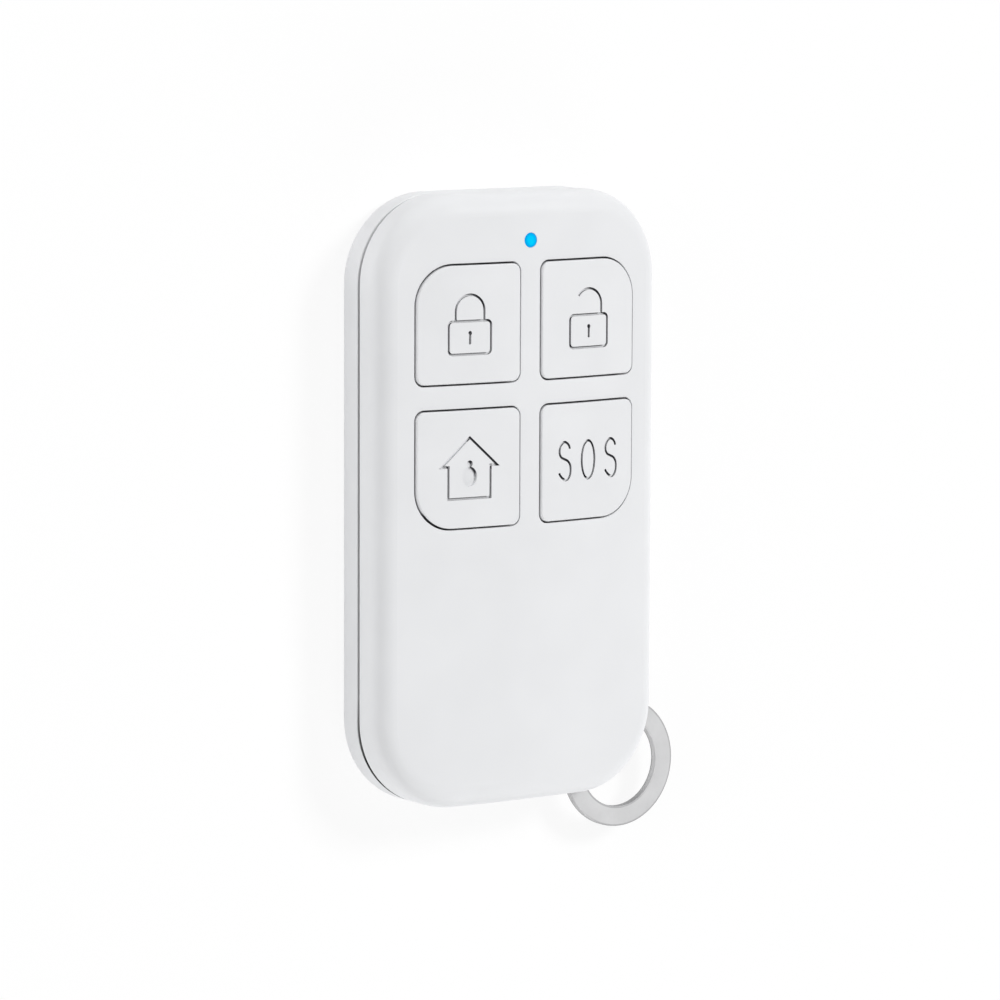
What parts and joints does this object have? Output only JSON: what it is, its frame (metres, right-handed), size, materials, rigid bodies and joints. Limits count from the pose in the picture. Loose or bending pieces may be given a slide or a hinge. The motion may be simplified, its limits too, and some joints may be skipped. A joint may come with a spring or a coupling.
{
  "type": "alarm key fob",
  "caption": "Slim rounded key fob of an alarm: a crowned case with a block of sprung push keys in its face, a lit window above them and a flat ring in a corner slot.",
  "frame": {"origin": "centre of the flat rear face, which the fob lies on", "axes": "+X to the right and +Y towards the lamp end when the keys are seen from above, +Z out of the face with the keys"},
  "size_m": [0.0388, 0.0656, 0.0092],
  "materials": {
    "case_plastic": "fine satin white moulded plastic",
    "key_plastic": "fine satin white moulded plastic",
    "mat_silicone": "soft grey silicone",
    "lamp_plastic": "clear acrylic, lit cyan blue",
    "board_laminate": "green solder mask on glass-fibre laminate",
    "board_copper": "plated copper track",
    "contact_metal": "tinned or nickel-plated spring metal",
    "led_resin": "clear resin on white base",
    "chip_resin": "black moulding resin",
    "capacitor_ceramic": "fired tan ceramic",
    "cell_metal": "nickel-plated steel",
    "gasket_plastic": "black nylon",
    "switch_plastic": "black moulding",
    "plunger_plastic": "black moulding",
    "screw_metal": "zinc-plated steel",
    "ring_metal": "pale matt nickel plating"
  },
  "bodies": {
    "case": {"front_shell": "case_plastic", "rear_shell": "case_plastic", "key_mat": "mat_silicone", "light_pipe": "lamp_plastic", "circuit_board": "board_laminate", "switch_discs": "contact_metal", "switch_terminals": "contact_metal", "indicator_led": "led_resin", "controller_chip": "chip_resin", "controller_leads": "contact_metal", "resonator": "cell_metal", "rf_transistor": "chip_resin", "transistor_leads": "contact_metal", "capacitors": "capacitor_ceramic", "resistors": "chip_resin", "antenna_loop": "board_copper", "cell_can": "cell_metal", "cell_gasket": "gasket_plastic", "cell_cap": "cell_metal", "cell_strap": "contact_metal", "cell_contact": "contact_metal", "case_screws": "screw_metal", "arm_switch_base": "switch_plastic", "arm_switch_cover": "contact_metal", "disarm_switch_base": "switch_plastic", "disarm_switch_cover": "contact_metal", "home_switch_base": "switch_plastic", "home_switch_cover": "contact_metal", "sos_switch_base": "switch_plastic", "sos_switch_cover": "contact_metal"},
    "arm_key": {"arm_key": "key_plastic"},
    "disarm_key": {"disarm_key": "key_plastic"},
    "home_key": {"home_key": "key_plastic"},
    "sos_key": {"sos_key": "key_plastic"},
    "arm_plunger": {"arm_switch_plunger": "plunger_plastic"},
    "disarm_plunger": {"disarm_switch_plunger": "plunger_plastic"},
    "home_plunger": {"home_switch_plunger": "plunger_plastic"},
    "sos_plunger": {"sos_switch_plunger": "plunger_plastic"},
    "key_ring": {"key_ring": "ring_metal"}
  },
  "joints": [
    {"name": "arm_key_press", "type": "slide", "parent": "case", "child": "arm_key", "axis": [0, 0, -1], "range_m": [0, 0.0003], "stiffness_N_per_m": 5000, "deforming": ["key_mat", "switch_discs"]},
    {"name": "disarm_key_press", "type": "slide", "parent": "case", "child": "disarm_key", "axis": [0, 0, -1], "range_m": [0, 0.0003], "stiffness_N_per_m": 5000, "deforming": ["key_mat", "switch_discs"]},
    {"name": "home_key_press", "type": "slide", "parent": "case", "child": "home_key", "axis": [0, 0, -1], "range_m": [0, 0.0003], "stiffness_N_per_m": 5000, "deforming": ["key_mat", "switch_discs"]},
    {"name": "sos_key_press", "type": "slide", "parent": "case", "child": "sos_key", "axis": [0, 0, -1], "range_m": [0, 0.0003], "stiffness_N_per_m": 5000, "deforming": ["key_mat", "switch_discs"]},
    {"name": "arm_plunger_travel", "type": "slide", "parent": "case", "child": "arm_plunger", "axis": [0, 0, -1], "range_m": [0, 0.0003]},
    {"name": "disarm_plunger_travel", "type": "slide", "parent": "case", "child": "disarm_plunger", "axis": [0, 0, -1], "range_m": [0, 0.0003]},
    {"name": "home_plunger_travel", "type": "slide", "parent": "case", "child": "home_plunger", "axis": [0, 0, -1], "range_m": [0, 0.0003]},
    {"name": "sos_plunger_travel", "type": "slide", "parent": "case", "child": "sos_plunger", "axis": [0, 0, -1], "range_m": [0, 0.0003]},
    {"name": "key_ring_swing", "type": "hinge", "parent": "case", "child": "key_ring", "pos_m": [0.01306, -0.02642, 0.00275], "axis": [0, 0, 1], "range_deg": [-30, 30]}
  ],
  "couplings": [
    {"joint": "arm_plunger_travel", "follows": "arm_key_press", "ratio": 1},
    {"joint": "disarm_plunger_travel", "follows": "disarm_key_press", "ratio": 1},
    {"joint": "home_plunger_travel", "follows": "home_key_press", "ratio": 1},
    {"joint": "sos_plunger_travel", "follows": "sos_key_press", "ratio": 1}
  ]
}
